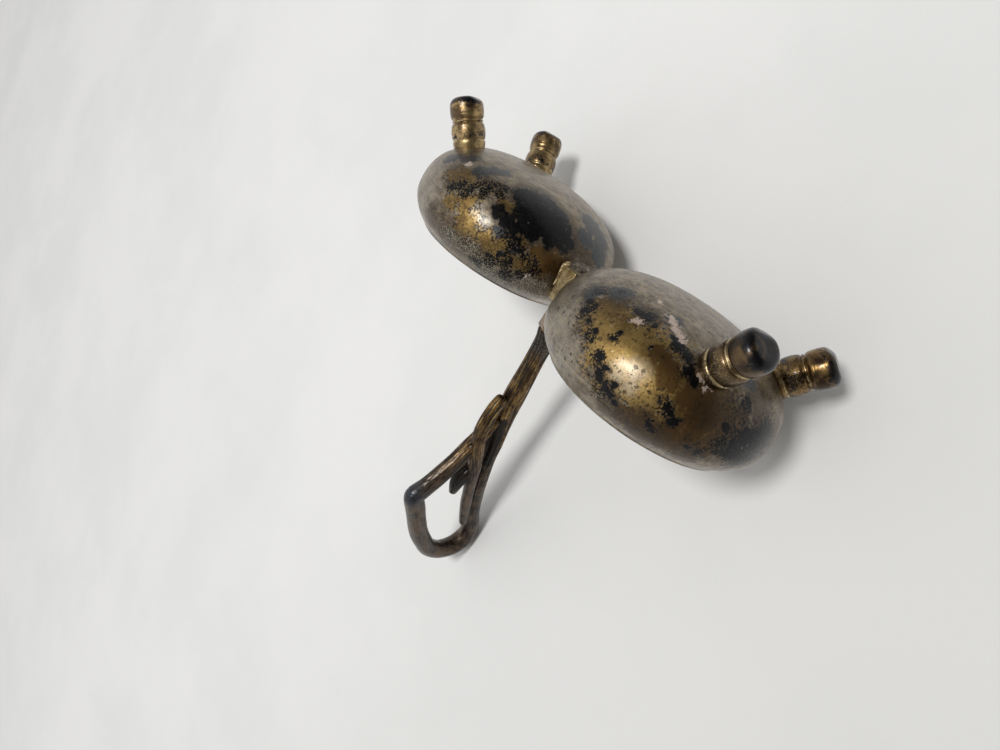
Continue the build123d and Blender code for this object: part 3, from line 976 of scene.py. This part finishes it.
right_material = bowl_metal(
    "bowl_metal_right",
    2.0,
    gold=(
        (94, -8.4, 5.6), (82, -6.6, 6.6), (72, -6.4, 8.0), (60, -5.0, 8.0), (46, -4.5, 8.0),
        (33, -4.0, 7.0), (56, 1.0, 3.4), (40, 1.4, 4.0), (22, -3.0, 4.0),
    ),
    black=(
        (83, -3.2, 0.72), (78, -2.2, 0.8), (79, -0.3, 0.88), (74, 0.4, 1.04), (70, 0.9, 0.96),
        (71, -1.2, 0.64), (67, 2.1, 0.64), (88, -11.9, 0.96), (82, -12.1, 0.88), (76, -11.8, 0.64),
        (64, -12.0, 0.8), (60, -11.6, 1.04), (54, -11.0, 1.12), (50, -9.9, 1.12), (46, -8.9, 0.96),
        (50, -3.4, 0.56), (54, -3.4, 0.48), (47, -2.9, 0.64), (44, -1.9, 0.8), (53, 0.7, 0.48),
        (50, 2.2, 0.56), (33, 1.6, 0.72), (27, 1.9, 0.56), (109, -8.1, 0.72), (105, -6.5, 0.72),
        (98, -5.7, 0.64), (92, -5.8, 0.56), (84, -7.9, 0.48), (70, -9.4, 0.48), (116, -9.8, 0.8),
        (108, -12.0, 0.8), (14, -1.4, 2.6), (9, -3.4, 2.9), (5, -0.6, 2.9), (1, -5.0, 2.5),
        (24, -4.8, 0.95), (17, -9.6, 0.85),
    ),
    flaky=(
        (83, -2.6, 1.76), (79, -0.6, 1.92), (73, 1.0, 2.24), (50, -2.8, 1.76), (45, -1.6, 1.6),
        (51, 1.4, 1.28), (104, -7.0, 2.08), (113, -10.2, 2.08), (84, -12.2, 1.92), (60, -11.6, 2.08),
        (51, -9.8, 1.76), (18, -9.0, 1.9), (14, -3.4, 4.18), (6, -1.2, 4.18), (2, -5.0, 3.8),
        (28, 1.6, 1.44), (93, -4.6, 1.44), (84, -6.8, 1.12), (22, -1.0, 2.28), (-6, -2.0, 2.85),
    ),
    amber=(
        (57, -7.4, 3.0), (43, -7.0, 3.6), (36, -4.8, 4.2), (31, -7.6, 3.6), (64, -9.0, 2.2),
        (25, -5.2, 4.4), (22, -2.0, 3.6), (166, -3.6, 2.0), (170, -1.0, 2.0), (160, -5.6, 1.8),
        (172, 2.0, 2.0), (53, 3.0, 3.6), (44, 1.6, 3.6), (36, 1.4, 3.4), (62, 3.0, 2.6), (28, 0.6, 3.0),
    ),
    bluish=((108, -11.8, 2.6), (114, -9.4, 2.2), (14, -11.6, 2.0), (2, -4.0, 3.4), (72, -13.6, 2.0)),
    scraped=(
        (75, -13.7, 1.0), (71, -13.4, 1.0), (67, -13.0, 1.1), (63, -12.7, 1.0), (60, -12.3, 0.9),
        (83, -10.8, 1.1), (94, -14.2, 0.7), (44, -9.6, 0.8), (40, -8.6, 0.7),
    ),
    browned=(
        (56, 2.6, 4.2), (68, 3.8, 4.0), (45, 3.2, 4.5), (32, 3.0, 5.0), (20, -2.5, 6.0), (33, -5.5, 4.6),
        (24, -7.5, 4.0), (6, -3.0, 7.0), (-8, -4.0, 5.0), (84, -12.4, 3.4), (10, -9.5, 5.0),
        (102, -11.4, 3.6), (116, -9.0, 3.0),
    ),
    veiled_and_highlit=(
        (68, -4.8, 2.6), (73, -3.0, 2.4), (66, -2.2, 2.0), (112, -1.4, 5.5), (98, 1.6, 4.5),
        (124, -5.0, 4.5),
    ),
    grainy=((200, 3.0, 5.0), (214, 3.4, 5.0)),
    amber_colour=(0.105, 0.055, 0.015),
    freckled=0.9,
)
brass = bridge_metal()
bark = handle_metal()

for label, side, material in (("left", -1, left_material), ("right", 1, right_material)):
    shell = ride(bowl_piece(f"bowl_shell_{label}", side, material))
    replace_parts(shell, f"bowl_{label}")

# The colours of each foot's worn and shaded metal, by depth and side.
FOOT_COLOURS = {
    ("front", -1): ((0.37, 0.255, 0.115), (0.072, 0.043, 0.020)),
    ("back", -1): ((0.46, 0.325, 0.150), (0.110, 0.068, 0.034)),
    ("front", 1): ((0.24, 0.145, 0.052), (0.034, 0.017, 0.007)),
    ("back", 1): ((0.14, 0.090, 0.042), (0.036, 0.023, 0.013)),
}
for number, ((depth_label, side_x), (gold, shadow)) in enumerate(FOOT_COLOURS.items()):
    label = f"{depth_label}_{'left' if side_x < 0 else 'right'}"
    side_y = 1 if depth_label == "back" else -1
    axis = foot_axis(side_x, side_y)
    material = foot_metal(f"foot_metal_{label}", number + 1.0, gold, shadow, axis)
    peg = ride(foot_piece(f"peg_{label}", side_x, side_y, material))
    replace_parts(peg, f"foot_{label}")

block = plate_piece(
    "bridge_block", thickness=4.0, width=14.4, bottom=-5.4, top=3.0, edge=0.5, material=brass
)
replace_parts(ride(block), "centre_bridge")
tab = plate_piece("bridge_tab", thickness=2.2, width=11.8, bottom=-3.4, top=9.8, edge=0.45, material=brass)
ride(tab)

# The pale solder of the bead and the dab is partly painted highlight.
solder_with_highlight = solder_metal("solder_with_highlight", low=(0.30, 0.20, 0.085), high=(0.72, 0.58, 0.34), wrinkle=0.10)
grey_solder = solder_metal("grey_solder", low=(0.075, 0.058, 0.042), high=(0.300, 0.255, 0.200), wrinkle=0.35)
for name, stations, seed, material in (
    ("bridge_solder_under", SOLDER_UNDER, 41.0, grey_solder),
    ("bridge_solder_edge", SOLDER_EDGE, 43.0, solder_with_highlight),
    ("bridge_solder_handle", SOLDER_HANDLE, 47.0, solder_with_highlight),
):
    ride(strand_piece(name, stations, seed, material, step=0.2, around=48, depth=0.12))

stem = strand_piece("handle_stem_and_loop", STEM_AND_LOOP, 3.0, bark, step=0.3, around=96, depth=0.30)
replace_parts(ride(stem), "handle")
for name, stations, seed in (
    ("handle_branch", BRANCH, 11.0),
    ("handle_crossing", CROSSING_STRAND, 17.0),
    ("handle_back", BACK_STRAND, 23.0),
    ("handle_thorn", THORN, 29.0),
):
    ride(strand_piece(name, stations, seed, bark, step=0.25, around=72, depth=0.26))


# -------- stage

PAPER_DULL = (0.80, 0.80, 0.785)
PAPER_CLEAN = (0.85, 0.845, 0.83)
PAPER_SHADED = (0.66, 0.655, 0.635)
PAPER_HALF_SIZE = 900.0
# How far the paper under the object's side is from the frame's origin, and its tilt, from an upright sheet.
SIDE_DISTANCE = 27.66
SIDE_TILT = math.radians(5.1)


def paper(name):
    """Plain pale paper with painted shade darkening it towards +x, seen only from its front."""
    s = Shade(name)
    mottle = s.noise(s.mm, 0.012, 4.0, 0.6)
    tooth = s.noise(s.mm, 1.2, 4.0, 0.6)
    s.colour = s.mix(s.step(s.add(mottle, s.times(tooth, 0.15)), 0.42, 0.72), PAPER_DULL, PAPER_CLEAN)
    # Painted shade: the paper is made darker towards +x, as if less light fell there.
    s.lay(PAPER_SHADED, s.step(s.x, -90.0, 210.0))
    s.finish(0.9, 0.0, s.times(tooth, 0.03))
    choose = s.node("MixShader")
    s.put(choose.inputs[0], s.node("NewGeometry").outputs["Backfacing"])
    s.put(choose.inputs[1], s.shader.outputs[0])
    s.put(choose.inputs[2], s.node("BsdfTransparent").outputs[0])
    s.put(s.surface, choose.outputs[0])
    return s.material


def sheet_of_paper(name, centre, up, reflected):
    """A flat square whose front looks along up. It casts no shadow, and reflections show it if reflected."""
    turn = Vector(up).normalized().to_track_quat("Z", "Y").to_matrix()
    square = ((-1, -1), (1, -1), (1, 1), (-1, 1))
    corners = [turn @ (Vector((x, y, 0)) * PAPER_HALF_SIZE) for x, y in square]
    made = new_object(name, [Vector(centre) + c for c in corners], [(0, 1, 2, 3)], paper(name))
    made.visible_shadow = False
    made.visible_diffuse = False
    made.visible_glossy = reflected


side_up = Vector((0, math.cos(SIDE_TILT), -math.sin(SIDE_TILT)))
sheet_of_paper("table_under_side", side_up * -SIDE_DISTANCE, side_up, True)
sheet_of_paper("table_under_feet", (0, 0, 0), (0, 0, 1), False)

# The point in metres, near the middle of the object, that both lights look at.
LIGHTS_LOOK_AT = Vector((0.0, 0.0, 0.045))


def area_light(name, towards, distance, size, power):
    """A round light at a distance along towards, looking back."""
    light = bpy.data.lights.new(name, "AREA")
    light.shape = "DISK"
    light.size = size
    light.energy = power
    made = bpy.data.objects.new(name, light)
    made.location = LIGHTS_LOOK_AT + Vector(towards).normalized() * distance
    made.rotation_mode = "QUATERNION"
    made.rotation_quaternion = Vector(towards).to_track_quat("Z", "Y")
    scene.collection.objects.link(made)


area_light("key", (0.12, 0.955, -0.27), distance=1.5, size=0.36, power=12.5)
area_light("top", (-0.35, -0.55, 0.75), distance=0.7, size=0.45, power=1.6)

# The world is a soft grey slope along a direction: (where it starts, where it ends, darkest, lightest).
WORLD_DIRECTION = (-0.68, 0.19, 0.71)
WORLD_SLOPE = (-0.75, 0.95, 0.115, 0.84)

world = bpy.data.worlds.new("soft_studio")
world.use_nodes = True
tree = world.node_tree
tree.nodes.clear()
coordinates, along, slope, background, world_output = (
    tree.nodes.new("ShaderNode" + kind)
    for kind in ("TexCoord", "VectorMath", "MapRange", "Background", "OutputWorld")
)
along.operation = "DOT_PRODUCT"
along.inputs[1].default_value = WORLD_DIRECTION
slope.interpolation_type = "SMOOTHSTEP"
for socket, number in zip(list(slope.inputs)[1:5], WORLD_SLOPE):
    socket.default_value = number
tree.links.new(coordinates.outputs["Generated"], along.inputs[0])
tree.links.new(along.outputs["Value"], slope.inputs[0])
tree.links.new(slope.outputs[0], background.inputs["Color"])
tree.links.new(background.outputs[0], world_output.inputs["Surface"])
scene.world = world
scene.view_settings.view_transform = "Standard"

# Where the camera is, in metres, and which way its picture's right side and its middle look.
CAMERA_PLACE = (0.10024, 0.12978, -0.02135)
CAMERA_RIGHT = (0.5175, -0.7003, -0.4917)
CAMERA_FORWARD = (-0.5862, -0.7087, 0.3925)

camera_data = bpy.data.cameras.new("camera")
camera_data.lens = 27.0
camera_data.sensor_width = 36.0
camera_data.clip_start = 0.005
camera_data.clip_end = 20.0
camera = bpy.data.objects.new("camera", camera_data)
scene.collection.objects.link(camera)
right = Vector(CAMERA_RIGHT).normalized()
forward = Vector(CAMERA_FORWARD).normalized()
right = (right - forward * right.dot(forward)).normalized()
turn = Matrix((right, right.cross(forward), -forward)).transposed()
camera.matrix_world = Matrix.Translation(CAMERA_PLACE) @ turn.to_4x4()
bpy.context.scene.camera = camera
